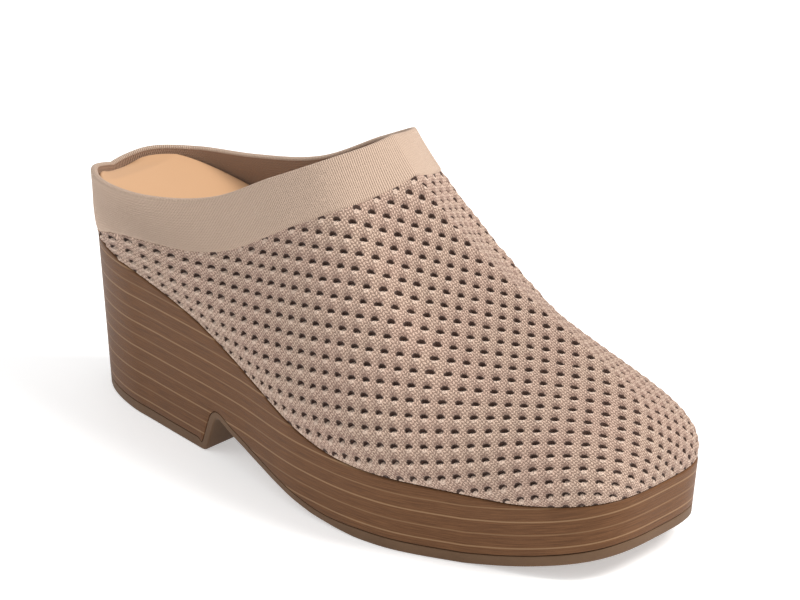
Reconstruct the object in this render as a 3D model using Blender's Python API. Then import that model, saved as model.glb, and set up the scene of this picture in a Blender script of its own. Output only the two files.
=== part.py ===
"""A slip-on knitted mule clog, right foot, on a stacked platform and block heel.

Metres, +Z up, toe along +X, the outer (little-toe) side along -Y. The shoe
stands empty on its sole. Four solids: outsole, platform, insole and upper.
"""
import math

import bmesh
import bpy
import numpy as np

# main sizes
LENGTH = 0.252           # back of the heel to the toe, along the platform's top edge
BALL_WIDTH = 0.094       # across the platform's top edge at the ball
HEEL_HEIGHT = 0.0603     # floor to the platform's top edge at the back
TOE_TIP_SHIFT = 0.0053   # the toe's centre, towards the inner side
HEEL_ROUND = 0.038       # length over which the plan closes round the heel
TOE_ROUND = 0.070        # length over which the plan closes round the toe
TOE_SPRING = 0.0090      # how high the toe's tip is off the floor
SPRING_START = 0.81      # share of the length where the sole leaves the floor
SHANK_CLEARANCE = 0.0158  # highest point of the notch in front of the heel
HEEL_DRAFT = 0.051       # how much the wall leans in per unit of height, at the heel
TOE_DRAFT = 0.068        # the same at the forefoot
RUBBER_THICK = 0.0040    # outsole under heel and forefoot
BREAST_THICK = 0.0027    # outsole round the notch and under the shank
GAP = 0.0003             # clearance between pieces that meet
FEATHER_INSET = 0.0004   # the knit's lower edge inside the platform's top edge

# upper
KNIT_WALL = 0.0020       # thickness of the knit
COLLAR_BAND = 0.0190     # depth of the close-knit band at the middle of the foot
BAND_BACK = 1.30         # the band's depth at the heel, as a share of COLLAR_BAND
BAND_FRONT = 0.80        # the same at the throat
COLLAR_STEP = 0.0005     # how far the band stands out from the knit below
RIM = 0.8                # how far the collar's rounded edge rises, per half thickness
COLLAR_HEIGHT = 0.1245   # floor to the top of the collar at the instep
COLLAR_HALF = 0.0290     # half the width of the opening at its widest
COLLAR_BACK = -0.0015    # where the collar's back lies, past the platform's edge
THROAT = 0.1345          # where the collar crosses the instep
THROAT_SHIFT = 0.0023    # the throat's centre, towards the inner side
RISE = 0.0300            # the tallest first handle of a rib
REACH = 0.0360           # the longest last handle of a rib

# insole
INSOLE_THICK = 0.0230    # thickest part, under the heel
INSOLE_DISH = 0.0016     # how much its middle lies below its edge
INSOLE_EDGE_DROP = 0.0016  # how far its edge stays below the collar's edge
INSOLE_GAP = 0.0004      # clearance between its side and the knit

# Plan of the platform's top edge. at: share of LENGTH from the heel.
# near, far: half widths before the ends close, as shares of BALL_WIDTH.
PLAN_COLUMNS = ("at", "near", "far")
PLAN_ROWS = (
    (0.00, 0.285, 0.275),
    (0.10, 0.299, 0.298),
    (0.25, 0.363, 0.340),
    (0.40, 0.436, 0.362),
    (0.55, 0.532, 0.412),
    (0.70, 0.550, 0.452),
    (0.85, 0.448, 0.425),
    (0.95, 0.433, 0.428),
    (1.00, 0.450, 0.440),
)

# Side of the platform. at: share of LENGTH. top: height of the top edge as a
# share of HEEL_HEIGHT.
TOP_COLUMNS = ("at", "top")
TOP_ROWS = (
    (0.00, 1.000),
    (0.08, 0.983),
    (0.15, 0.948),
    (0.30, 0.842),
    (0.45, 0.641),
    (0.60, 0.470),
    (0.75, 0.441),
    (0.88, 0.425),
    (1.00, 0.484),
)

# Underside, without the toe spring. at: share of LENGTH. up: height as a share
# of SHANK_CLEARANCE. The heel block ends at 0.305 and the sole lands at 0.655.
UNDER_COLUMNS = ("at", "up")
UNDER_ROWS = (
    (0.000, 0.000),
    (0.302, 0.000),
    (0.309, 0.040),
    (0.314, 0.165),
    (0.325, 0.535),
    (0.336, 0.905),
    (0.342, 0.990),
    (0.349, 0.995),
    (0.361, 0.910),
    (0.377, 0.805),
    (0.425, 0.580),
    (0.476, 0.390),
    (0.524, 0.230),
    (0.571, 0.105),
    (0.619, 0.040),
    (0.655, 0.000),
    (1.000, 0.000),
)

# Collar edge from the back (0) to the throat (1), the same on both sides.
# half: share of COLLAR_HALF. up: share of COLLAR_HEIGHT.
COLLAR_COLUMNS = ("at", "half", "up")
COLLAR_ROWS = (
    (0.00, 0.000, 0.642),
    (0.06, 0.270, 0.658),
    (0.12, 0.440, 0.670),
    (0.25, 0.835, 0.679),
    (0.40, 0.990, 0.697),
    (0.55, 0.970, 0.755),
    (0.70, 0.955, 0.872),
    (0.85, 0.690, 0.952),
    (0.94, 0.310, 0.975),
    (1.00, 0.000, 0.986),
)

# Ribs of the upper, each a four-point curve from the platform's edge to the
# collar. at: share of the half outline from heel (0) to toe tip (1).
# rise: first handle, share of RISE. lean: how far it leans out, share of RISE.
# reach: last handle outwards, share of REACH. drop: the same handle downwards,
# share of REACH.
RIB_COLUMNS = ("at", "rise", "lean", "reach", "drop")
RIB_ROWS = (
    (0.00, 0.300, 0.060, 0.020, 0.210),
    (0.20, 0.420, 0.115, 0.035, 0.260),
    (0.40, 0.640, 0.130, 0.180, 0.380),
    (0.60, 0.440, 0.110, 0.910, 0.860),
    (0.75, 0.370, 0.080, 1.470, 1.510),
    (0.88, 0.830, 0.150, 1.130, 1.980),
    (1.00, 1.380, 0.160, 0.990, 1.430),
)

# Insole, measured up from the platform. thick: share of INSOLE_THICK.
INSOLE_COLUMNS = ("at", "thick")
INSOLE_ROWS = (
    (0.00, 0.700),
    (0.05, 0.900),
    (0.10, 1.000),
    (0.15, 0.985),
    (0.20, 0.890),
    (0.30, 0.700),
    (0.45, 0.540),
    (0.60, 0.480),
    (0.80, 0.400),
    (1.00, 0.340),
)

# fineness of the meshes
SOLE_STATIONS = 44
HALF_RIBS = 38
LOWER_ROWS = 12
BAND_ROWS = 5

MATERIALS = {
    # name: (colour, roughness)
    "outsole": ((0.205, 0.150, 0.105), 0.72),
    "platform": ((0.170, 0.095, 0.052), 0.55),
    "insole": ((0.700, 0.430, 0.240), 0.50),
    "upper": ((0.500, 0.370, 0.280), 0.90),
}


def table(rows, columns, name, at):
    """Smooth curve through one named column of a table, read at the shares at."""
    data = np.array(rows, dtype=float)
    x = data[:, columns.index("at")]
    y = data[:, columns.index(name)]
    slope = np.gradient(y, x)
    at = np.clip(np.asarray(at, dtype=float), x[0], x[-1])
    k = np.clip(np.searchsorted(x, at, side="right") - 1, 0, len(x) - 2)
    step = x[k + 1] - x[k]
    t = (at - x[k]) / step
    return (
        y[k] * (1 + 2 * t) * (1 - t) ** 2
        + slope[k] * step * t * (1 - t) ** 2
        + y[k + 1] * t ** 2 * (3 - 2 * t)
        + slope[k + 1] * step * t ** 2 * (t - 1)
    )


def closing(length_left, round_length, power):
    """Share of the full width that is left near an end of the plan."""
    t = np.clip(1 - length_left / round_length, 0, 1)
    return (1 - t ** power) ** (1 / power)


def centre_line(at):
    """Sideways position of the middle of the sole at a share of the length."""
    return TOE_TIP_SHIFT * np.clip((np.asarray(at) - 0.5) / 0.5, 0, 1) ** 2


def plan(at, side, inset=0.0):
    """Plan point at a share of the length; side -1 is the outer side, 1 the inner."""
    at = np.asarray(at, dtype=float)
    half = table(PLAN_ROWS, PLAN_COLUMNS, "near" if side < 0 else "far", at) * BALL_WIDTH
    ends = closing(at * LENGTH, HEEL_ROUND, 1.92) * closing((1 - at) * LENGTH, TOE_ROUND, 3.2)
    x = inset + (LENGTH - 2 * inset) * at
    return x, centre_line(at) + side * (half - inset) * ends


def spring(at):
    """Rise of the toe off the floor."""
    share = np.clip((np.asarray(at) - SPRING_START) / (1 - SPRING_START), 0, 1)
    return TOE_SPRING * share ** 1.4


def top_height(at):
    """Height of the platform's top face."""
    return table(TOP_ROWS, TOP_COLUMNS, "top", at) * HEEL_HEIGHT


def underside():
    """Dense line of the outsole's underside: x, height and rubber thickness."""
    at = np.linspace(0, 1, 1201)
    rows = np.array(UNDER_ROWS)
    up = np.interp(at, rows[:, 0], rows[:, 1])
    kernel = np.hanning(15)
    padded = np.concatenate((np.full(7, up[0]), up, np.full(7, up[-1])))
    up = np.convolve(padded, kernel / kernel.sum(), mode="valid")
    height = up * SHANK_CLEARANCE + spring(at)
    block = np.clip((at - 0.292) / 0.012, 0, 1)
    landed = np.clip((at - 0.600) / 0.060, 0, 1)
    thick = RUBBER_THICK + (BREAST_THICK - RUBBER_THICK) * block * (1 - landed)
    return at * LENGTH, height, thick


def offset_line(x, height, amount):
    """The underside line moved up along its own normal, read again as a height at x."""
    dx = np.gradient(x)
    dz = np.gradient(height)
    size = np.hypot(dx, dz)
    moved_x = x - dz / size * amount
    moved_z = height + dx / size * amount
    order = np.maximum.accumulate(moved_x)
    keep = np.concatenate(([True], np.diff(order) > 1e-7))
    return np.interp(x, moved_x[keep], moved_z[keep])


def stations():
    """Shares of the length at which the sole is cut into sections."""
    even = (1 - np.cos(np.linspace(0, math.pi, SOLE_STATIONS))) / 2
    even = even[(even < 0.29) | (even > 0.37)]
    notch = np.array([0.288, 0.296, 0.302, 0.307, 0.312, 0.318, 0.325, 0.332, 0.338, 0.344, 0.352, 0.362])
    return np.sort(np.concatenate((even, notch)))


def draft(at):
    """How much the sole's wall leans in per unit of height."""
    share = np.clip((np.asarray(at) - 0.3) / 0.3, 0, 1)
    return HEEL_DRAFT + (TOE_DRAFT - HEEL_DRAFT) * share


def section_loft(name, low, high, low_round, high_round):
    """Solid between two height lines, inside the plan, with slightly rounded edges.

    low and high hold the heights at stations(). Each section is a closed
    loop: up the outer wall, across the top, down the inner wall, across the
    underside.
    """
    at = stations()
    top = top_height(at)
    lean = draft(at)
    loops = []
    for side in (-1, 1):
        for round_size, level, sign in (
            (low_round, low, 1),
            (high_round, high, -1),
        ):
            for turn in (0.0, 0.3, 1.0):
                angle = turn * math.pi / 2
                if sign > 0:
                    shrink = round_size * (1 - math.sin(angle))
                    up = round_size * (1 - math.cos(angle))
                else:
                    shrink = round_size * (1 - math.cos(angle))
                    up = round_size * (1 - math.sin(angle))
                height = level + sign * up
                inset = lean * np.maximum(top - height, 0) + shrink
                x, y = plan(at, side, inset)
                loops.append(np.stack((x, y, height), axis=-1))
    near = loops[0:6]
    far = loops[6:12]
    ring = near + far[::-1]
    grid = np.stack(ring, axis=1)
    return add_loft(name, grid)


def add_loft(name, grid):
    """Closed solid from sections (first axis) of closed loops (second axis)."""
    count, around = grid.shape[:2]
    index = np.arange(count * around).reshape(count, around)
    following = np.roll(index, -1, axis=1)
    quads = np.stack(
        (index[:-1], following[:-1], following[1:], index[1:]), axis=-1
    ).reshape(-1, 4)
    faces = [tuple(q) for q in quads.tolist()]
    return add_solid(name, grid.reshape(-1, 3), faces)


def add_solid(name, points, faces):
    """Weld, drop collapsed faces, cut into triangles and turn the faces outwards."""
    mesh = bpy.data.meshes.new(name)
    mesh.from_pydata([tuple(p) for p in points.tolist()], [], faces)
    work = bmesh.new()
    work.from_mesh(mesh)
    bmesh.ops.remove_doubles(work, verts=work.verts, dist=0.00001)
    bmesh.ops.dissolve_degenerate(work, edges=work.edges, dist=0.00001)
    bmesh.ops.triangulate(work, faces=work.faces)
    bmesh.ops.recalc_face_normals(work, faces=work.faces)
    if work.calc_volume(signed=True) < 0:
        bmesh.ops.reverse_faces(work, faces=work.faces)
    work.to_mesh(mesh)
    work.free()
    mesh.validate()
    solid = bpy.data.objects.new(name, mesh)
    bpy.context.scene.collection.objects.link(solid)
    colour, rough = MATERIALS[name]
    material = bpy.data.materials.new(name)
    material.use_nodes = True
    shader = material.node_tree.nodes["Principled BSDF"]
    shader.inputs["Base Color"].default_value = (*colour, 1.0)
    shader.inputs["Roughness"].default_value = rough
    shader.inputs["Metallic"].default_value = 0.0
    mesh.materials.append(material)
    return solid


def half_outline(side, count):
    """Points spaced evenly along the platform's top edge, heel back to toe tip."""
    at = (1 - np.cos(np.linspace(0, math.pi, 1201))) / 2
    x, y = plan(at, side, FEATHER_INSET)
    run = np.concatenate(([0], np.cumsum(np.hypot(np.diff(x), np.diff(y)))))
    run /= run[-1]
    share = np.linspace(0, 1, count)
    return np.stack((np.interp(share, run, x), np.interp(share, run, y)), axis=-1)


def collar_edge(at, side):
    """Point of the collar's edge; at runs from the back to the throat."""
    at = np.asarray(at, dtype=float)
    x = COLLAR_BACK + (THROAT - COLLAR_BACK) * (1 - np.cos(math.pi * at)) / 2
    half = table(COLLAR_ROWS, COLLAR_COLUMNS, "half", at) * COLLAR_HALF
    middle = THROAT_SHIFT * np.clip(2 * at - 1, 0, 1)
    height = table(COLLAR_ROWS, COLLAR_COLUMNS, "up", at) * COLLAR_HEIGHT
    return np.stack((x, middle + side * half, height), axis=-1)


def ribs():
    """Outer face of the upper as ribs: (rib round the shoe, sample up the rib, xyz)."""
    share = np.linspace(0, 1, HALF_RIBS + 1)
    near = half_outline(-1, HALF_RIBS + 1)
    far = half_outline(1, HALF_RIBS + 1)
    foot = np.concatenate((near, far[-2:0:-1]))
    share = np.concatenate((share, share[-2:0:-1]))
    along = share ** 0.85
    edge_near = collar_edge(along[: HALF_RIBS + 1], -1)
    edge_far = collar_edge(along[HALF_RIBS + 1:], 1)
    edge = np.concatenate((edge_near, edge_far))
    foot = np.concatenate((foot, (top_height(foot[:, 0] / LENGTH) + GAP)[:, None]), axis=1)
    tangent = np.roll(foot, -1, axis=0) - np.roll(foot, 1, axis=0)
    tangent[:, 2] = 0
    tangent /= np.linalg.norm(tangent, axis=1)[:, None]
    outward = np.stack((tangent[:, 1], -tangent[:, 0], 0 * tangent[:, 0]), axis=-1)
    handles = {name: table(RIB_ROWS, RIB_COLUMNS, name, share)[:, None] for name in RIB_COLUMNS}
    up = np.array([0.0, 0.0, 1.0])
    first = foot + (outward * handles["lean"] + up * handles["rise"]) * RISE
    back = foot - edge
    back[:, 2] = 0
    back /= np.linalg.norm(back, axis=1)[:, None]
    last = edge + (back * handles["reach"] - up * handles["drop"]) * REACH
    t = np.linspace(0, 1, 161)[None, :, None]
    return (
        (1 - t) ** 3 * foot[:, None]
        + 3 * (1 - t) ** 2 * t * first[:, None]
        + 3 * (1 - t) * t ** 2 * last[:, None]
        + t ** 3 * edge[:, None]
    )


def upper_faces():
    """Outer face (with the collar step), and the normals, at the chosen rows."""
    fine = ribs()
    run = np.linalg.norm(np.diff(fine, axis=1), axis=2)
    run = np.concatenate((np.zeros((len(fine), 1)), np.cumsum(run, axis=1)), axis=1)
    total = run[:, -1] - RIM * (KNIT_WALL + COLLAR_STEP) / 2
    share = np.linspace(0, 1, HALF_RIBS + 1)
    share = np.concatenate((share, share[-2:0:-1]))
    band = COLLAR_BAND * (BAND_BACK + (BAND_FRONT - BAND_BACK) * share)
    band = np.minimum(band, 0.90 * total)
    lower = total - band
    low_share = np.linspace(0, 1, LOWER_ROWS) ** 1.15
    wanted = [lower * s for s in low_share]
    step_at = lower + np.minimum(0.0008, 0.1 * band)
    wanted.append(step_at)
    wanted += [step_at + (total - step_at) * s for s in np.linspace(0, 1, BAND_ROWS)[1:]]
    wanted = np.stack(wanted, axis=1)
    rows = np.stack(
        [
            np.stack([np.interp(wanted[i], run[i], fine[i, :, k]) for k in range(3)], axis=-1)
            for i in range(len(fine))
        ]
    )
    normals = face_normals(rows)
    step = np.zeros(rows.shape[1])
    step[LOWER_ROWS:] = COLLAR_STEP
    return rows, normals, step


def face_normals(rows):
    """Unit normals of a grid that closes round its first axis."""
    round_way = np.roll(rows, -1, axis=0) - np.roll(rows, 1, axis=0)
    up_way = np.gradient(rows, axis=1)
    normal = np.cross(round_way, up_way)
    return normal / np.linalg.norm(normal, axis=2)[..., None]


def make_upper():
    """Knit upper: outer face, rounded collar edge, inner face, lower edge."""
    rows, normals, step = upper_faces()
    outer = rows + normals * step[None, :, None]
    inner = rows - normals * KNIT_WALL
    outer[:, 0, 2] = top_height(outer[:, 0, 0] / LENGTH) + GAP
    inner[:, 0, 2] = top_height(inner[:, 0, 0] / LENGTH) + GAP
    end_normal = normals[:, -1]
    end_up = rows[:, -1] - rows[:, -2]
    end_up /= np.linalg.norm(end_up, axis=1)[:, None]
    half = (KNIT_WALL + COLLAR_STEP) / 2
    middle = (outer[:, -1] + inner[:, -1]) / 2
    rim = []
    for angle in (45, 90, 135):
        a = math.radians(angle)
        rim.append(middle + end_normal * half * math.cos(a) + end_up * half * RIM * math.sin(a))
    grid = np.concatenate(
        (outer, np.stack(rim, axis=1), inner[:, ::-1]), axis=1
    )
    grid = np.concatenate((grid, grid[:1]), axis=0)
    return add_loft("upper", grid)


def make_insole():
    """Cushioned footbed inside the upper, standing on the platform."""
    rows, normals, _ = upper_faces()
    inner = rows - normals * (KNIT_WALL + INSOLE_GAP)
    count = len(inner)
    at = inner[:, 0, 0] / LENGTH
    wanted = top_height(at) + GAP + table(INSOLE_ROWS, INSOLE_COLUMNS, "thick", at) * INSOLE_THICK
    limit = rows[:, -1, 2] - INSOLE_EDGE_DROP
    wanted = np.minimum(wanted, limit)
    foot_z = top_height(at) + GAP
    levels = []
    for share in (0.0, 0.35, 0.70, 0.93, 1.0):
        height = foot_z + (wanted - foot_z) * share
        level = np.zeros((count, 3))
        for i in range(count):
            z_line = np.maximum.accumulate(inner[i, :, 2])
            for k in range(2):
                level[i, k] = np.interp(height[i], z_line, inner[i, :, k])
        level[:, 2] = height
        levels.append(level)
    grid = np.stack(levels, axis=1)
    grid[:, 0, 2] = top_height(grid[:, 0, 0] / LENGTH) + GAP
    edge = grid[:, -1]
    centre_in = 0.0012
    flat = edge[:, :2] - normals[:, 0, :2] * centre_in
    grid[:, -1, :2] = flat
    half = HALF_RIBS
    near = np.arange(0, half + 1)
    far = (count - near) % count
    across = np.linspace(0, 1, 9)
    points = [grid.reshape(-1, 3)]
    rows_n = grid.shape[1]
    index = np.arange(count * rows_n).reshape(count, rows_n)
    faces = []
    following = np.roll(index, -1, axis=0)
    quads = np.stack((index[:, :-1], following[:, :-1], following[:, 1:], index[:, 1:]), axis=-1)
    faces += [tuple(q) for q in quads.reshape(-1, 4).tolist()]
    start = count * rows_n
    for row, dish in ((rows_n - 1, INSOLE_DISH), (0, 0.0)):
        a = grid[near, row]
        b = grid[far, row]
        cap = a[:, None] * (1 - across)[None, :, None] + b[:, None] * across[None, :, None]
        bowl = 1 - (2 * across - 1) ** 4
        width = np.linalg.norm(a - b, axis=1)
        cap[:, :, 2] -= dish * bowl[None, :] * np.clip(width / 0.03, 0, 1)[:, None]
        if row == 0:
            cap[:, :, 2] = top_height(cap[:, :, 0] / LENGTH) + GAP
        block = np.arange(cap.shape[0] * cap.shape[1]).reshape(cap.shape[:2]) + start
        start += block.size
        points.append(cap.reshape(-1, 3))
        quads = np.stack((block[:-1, :-1], block[:-1, 1:], block[1:, 1:], block[1:, :-1]), axis=-1)
        faces += [tuple(q) for q in quads.reshape(-1, 4).tolist()]
    return add_solid("insole", np.concatenate(points), faces)


def make_sole():
    """Outsole and platform, from the same underside line."""
    at = stations()
    x, low, thick = underside()
    rubber_low = np.interp(at * LENGTH, x, low)
    rubber_top = np.interp(at * LENGTH, x, offset_line(x, low, thick))
    block_low = np.interp(at * LENGTH, x, offset_line(x, low, thick + GAP))
    outsole = section_loft("outsole", rubber_low, rubber_top, 0.0008, 0.0002)
    platform = section_loft("platform", block_low, top_height(at), 0.0002, 0.0008)
    return outsole, platform


def centre(solids):
    """Move the shoe so that its box is centred over the origin, sole on the floor."""
    points = np.array([tuple(v.co) for s in solids for v in s.data.vertices])
    shift = -(points.max(axis=0) + points.min(axis=0)) / 2
    shift[2] = -points[:, 2].min()
    for solid in solids:
        for vertex in solid.data.vertices:
            vertex.co += type(vertex.co)(shift.tolist())
        solid.data.update()


def main():
    for old in list(bpy.data.objects):
        bpy.data.objects.remove(old, do_unlink=True)
    outsole, platform = make_sole()
    insole = make_insole()
    upper = make_upper()
    centre([outsole, platform, insole, upper])


main()
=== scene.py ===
"""Visual model of the knitted mule clog: knit relief, stacked platform, rubber outsole and footbed.

The shapes repeat the part's own functions with its own named sizes; the knit's
stitches and holes are height functions of two flat pattern coordinates.
"""

import math

import bmesh
import bpy
import numpy as np
from mathutils import Matrix, Vector


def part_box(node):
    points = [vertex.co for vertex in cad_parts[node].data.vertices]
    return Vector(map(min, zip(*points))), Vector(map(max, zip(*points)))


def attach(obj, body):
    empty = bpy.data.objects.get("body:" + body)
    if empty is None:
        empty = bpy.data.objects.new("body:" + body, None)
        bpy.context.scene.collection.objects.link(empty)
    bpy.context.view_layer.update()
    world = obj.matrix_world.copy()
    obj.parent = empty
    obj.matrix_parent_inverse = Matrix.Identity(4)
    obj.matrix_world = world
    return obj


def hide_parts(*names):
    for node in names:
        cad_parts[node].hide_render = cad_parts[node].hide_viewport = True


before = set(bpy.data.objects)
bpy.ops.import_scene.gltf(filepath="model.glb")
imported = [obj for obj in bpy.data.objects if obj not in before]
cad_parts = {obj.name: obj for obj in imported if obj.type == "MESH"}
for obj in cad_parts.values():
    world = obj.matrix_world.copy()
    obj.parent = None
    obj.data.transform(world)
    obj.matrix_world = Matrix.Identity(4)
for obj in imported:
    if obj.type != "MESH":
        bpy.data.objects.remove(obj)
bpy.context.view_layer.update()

# sizes of the solids, in metres, and shares
LENGTH = 0.252
BALL_WIDTH = 0.094
HEEL_HEIGHT = 0.0603
TOE_TIP_SHIFT = 0.0053
HEEL_ROUND = 0.038
TOE_ROUND = 0.070
HEEL_POWER = 1.92         # how square the plan closes round the heel
TOE_POWER = 3.2           # and round the toe
TOE_SPRING = 0.0090
SPRING_START = 0.81
SPRING_POWER = 1.4
SHANK_CLEARANCE = 0.0158
HEEL_DRAFT = 0.051
TOE_DRAFT = 0.068
RUBBER_THICK = 0.0040
BREAST_THICK = 0.0027
THIN_FROM = (0.292, 0.012)   # where the rubber thins behind the notch, and over what length
THIN_TO = (0.600, 0.060)     # the same where it thickens again
UNDER_SMOOTH = 15         # points over which the underside's corners are rounded
GAP = 0.0003
FEATHER_INSET = 0.0004
KNIT_WALL = 0.0020
COLLAR_BAND = 0.0190
BAND_BACK = 1.30
BAND_FRONT = 0.80
BAND_MOST = 0.90          # the band's depth is never a larger share of a rib
COLLAR_STEP = 0.0005
RIM = 0.8
COLLAR_HEIGHT = 0.1245
COLLAR_HALF = 0.0290
COLLAR_BACK = -0.0015
THROAT = 0.1345
THROAT_SHIFT = 0.0023
COLLAR_LEAD = 0.85        # the ribs reach the collar ahead of the sole
RIB_SAMPLES = 161
RISE = 0.0300
REACH = 0.0360
INSOLE_THICK = 0.0230
INSOLE_DISH = 0.0016
INSOLE_EDGE_DROP = 0.0016
INSOLE_GAP = 0.0004
BED_EDGE_IN = 0.0012      # the footbed's rounded edge, inwards
BED_EDGE_DOWN = 0.0006    # and downwards
RUBBER_ROUNDS = (0.0008, 0.0003)    # lower and upper edge
PLATFORM_ROUNDS = (0.0002, 0.0008)
BOWL_WIDTH = 0.03         # the footbed's dish fades where it is narrower
APART = 10.0              # keeps the ribs apart while one line is read for all of them

PLAN_COLUMNS = ("at", "near", "far")
PLAN_ROWS = (
    (0.00, 0.285, 0.275),
    (0.10, 0.299, 0.298),
    (0.25, 0.363, 0.340),
    (0.40, 0.436, 0.362),
    (0.55, 0.532, 0.412),
    (0.70, 0.550, 0.452),
    (0.85, 0.448, 0.425),
    (0.95, 0.433, 0.428),
    (1.00, 0.450, 0.440),
)
TOP_COLUMNS = ("at", "top")
TOP_ROWS = (
    (0.00, 1.000),
    (0.08, 0.983),
    (0.15, 0.948),
    (0.30, 0.842),
    (0.45, 0.641),
    (0.60, 0.470),
    (0.75, 0.441),
    (0.88, 0.425),
    (1.00, 0.484),
)
UNDER_COLUMNS = ("at", "up")
UNDER_ROWS = (
    (0.000, 0.000),
    (0.302, 0.000),
    (0.309, 0.040),
    (0.314, 0.165),
    (0.325, 0.535),
    (0.336, 0.905),
    (0.342, 0.990),
    (0.349, 0.995),
    (0.361, 0.910),
    (0.377, 0.805),
    (0.425, 0.580),
    (0.476, 0.390),
    (0.524, 0.230),
    (0.571, 0.105),
    (0.619, 0.040),
    (0.655, 0.000),
    (1.000, 0.000),
)
COLLAR_COLUMNS = ("at", "half", "up")
COLLAR_ROWS = (
    (0.00, 0.000, 0.642),
    (0.06, 0.235, 0.656),
    (0.12, 0.455, 0.670),
    (0.25, 0.835, 0.679),
    (0.40, 0.990, 0.697),
    (0.55, 0.970, 0.755),
    (0.70, 0.955, 0.872),
    (0.85, 0.690, 0.952),
    (0.94, 0.310, 0.975),
    (1.00, 0.000, 0.986),
)
RIB_COLUMNS = ("at", "rise", "lean", "reach", "drop")
RIB_ROWS = (
    (0.00, 0.300, 0.060, 0.020, 0.210),
    (0.20, 0.420, 0.115, 0.035, 0.260),
    (0.40, 0.640, 0.130, 0.180, 0.380),
    (0.60, 0.440, 0.110, 0.910, 0.860),
    (0.75, 0.370, 0.080, 1.470, 1.510),
    (0.88, 0.830, 0.150, 1.130, 1.980),
    (1.00, 1.380, 0.160, 0.990, 1.430),
)
INSOLE_COLUMNS = ("at", "thick")
INSOLE_ROWS = (
    (0.00, 0.700),
    (0.05, 0.900),
    (0.10, 1.000),
    (0.15, 1.020),
    (0.20, 1.000),
    (0.30, 0.860),
    (0.45, 0.540),
    (0.60, 0.480),
    (0.80, 0.400),
    (1.00, 0.340),
)

# knit
# rows and columns of holes: sums of powers of the flat coordinates, in units of 100 mm
PATTERN_COLUMNS = ("along", "across", "rows", "columns")
PATTERN_ROWS = (
    (0, 0, -0.4, -0.7),   # where the count starts
    (1, 0, 16.2, 1.8),    # straight terms: rows about 6 mm apart along the foot,
    (0, 1, -2.9, 12.4),   # columns about 8 mm apart down the side
    (2, 0, -2.9, 2.8),    # the rows spread towards the toe
    (1, 1, 0.9, 7.3),
    (0, 2, 2.6, 2.6),
    (3, 0, 0.9, -1.5),    # and bend round its end
    (2, 1, -1.2, -2.1),
    (1, 2, -4.3, 2.5),
    (0, 3, 0.0, 2.9),
)
PATTERN_UNIT = 0.100
RIDGE_ROUND = 0.006      # the rows turn over the ridge within this width
WALES = 4.0              # columns of stitches from one column of holes to the next
COURSES = 6.0            # stitches from one row of holes to the next
BAND_WALE = 0.00150      # the same two in the collar band
BAND_COURSE = 0.00112
RELIEF = 0.00075         # height of the loop below each hole
HOLE_DEPTH = 0.0012      # how far the holes sink
SOLE_STATIONS = 340
SLOPE = 0.58             # the wales fall by this angle (radians) towards the toe
RIDGE_SIDE = 0.003       # the ridge's place across the shoe
FLATTEN_STEPS = 1500
FLATTEN_PUSH = 1.6       # a step's share of the mean stretch; below 2 it settles
PIT_LONG = 0.22          # half widths of a hole, in cells
PIT_TALL = 0.15
TILE_RISE = 0.18         # share of a cell over which the loop rises
LINE_FIRST = 2.1         # the platform's light lines, in mm from the floor
LINE_STEP = 4.99

DX = float(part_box("platform")[0].x)  # the solids' frame starts at the heel's back
DY = float(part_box("platform")[0].y)


def table(rows, columns, name, at):
    """Cubic pieces through one column of a table, with slopes taken from the neighbouring rows."""
    data = np.array(rows, dtype=float)
    x = data[:, columns.index("at")]
    y = data[:, columns.index(name)]
    slope = np.gradient(y, x)
    at = np.clip(np.asarray(at, dtype=float), x[0], x[-1])
    k = np.clip(np.searchsorted(x, at, side="right") - 1, 0, len(x) - 2)
    step = x[k + 1] - x[k]
    t = (at - x[k]) / step
    return (
        y[k] * (1 + 2 * t) * (1 - t) ** 2
        + slope[k] * step * t * (1 - t) ** 2
        + y[k + 1] * t ** 2 * (3 - 2 * t)
        + slope[k + 1] * step * t ** 2 * (t - 1)
    )


def closing(length_left, round_length, power):
    """Share of the full width near an end: the power-th root of one less the power of what is missing."""
    t = np.clip(1 - length_left / round_length, 0, 1)
    return (1 - t ** power) ** (1 / power)


def plan(at, side, inset=0.0):
    """Plan point: half width from the table, closed at both ends, either side of the curved middle."""
    at = np.asarray(at, dtype=float)
    half = table(PLAN_ROWS, PLAN_COLUMNS, "near" if side < 0 else "far", at) * BALL_WIDTH
    ends = closing(at * LENGTH, HEEL_ROUND, HEEL_POWER) * closing((1 - at) * LENGTH, TOE_ROUND, TOE_POWER)
    middle = TOE_TIP_SHIFT * np.clip((at - 0.5) / 0.5, 0, 1) ** 2
    return inset + (LENGTH - 2 * inset) * at, middle + side * (half - inset) * ends


def spring(at):
    """Rise of the toe: the 1.4th power of the share of the way past where the sole leaves the floor."""
    share = np.clip((np.asarray(at) - SPRING_START) / (1 - SPRING_START), 0, 1)
    return TOE_SPRING * share ** SPRING_POWER


def top_height(at):
    """Height of the platform's top face, from its table."""
    return table(TOP_ROWS, TOP_COLUMNS, "top", at) * HEEL_HEIGHT


def underside():
    """Underside line: the table's straight pieces smoothed over a short width, plus the toe spring."""
    at = np.linspace(0, 1, 1201)
    rows = np.array(UNDER_ROWS)
    up = np.interp(at, rows[:, 0], rows[:, 1])
    kernel = np.hanning(UNDER_SMOOTH)
    padded = np.pad(up, UNDER_SMOOTH // 2, mode="edge")
    up = np.convolve(padded, kernel / kernel.sum(), mode="valid")
    height = up * SHANK_CLEARANCE + spring(at)
    block = np.clip((at - THIN_FROM[0]) / THIN_FROM[1], 0, 1)
    landed = np.clip((at - THIN_TO[0]) / THIN_TO[1], 0, 1)
    thick = RUBBER_THICK + (BREAST_THICK - RUBBER_THICK) * block * (1 - landed)
    return at * LENGTH, height, thick


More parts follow.
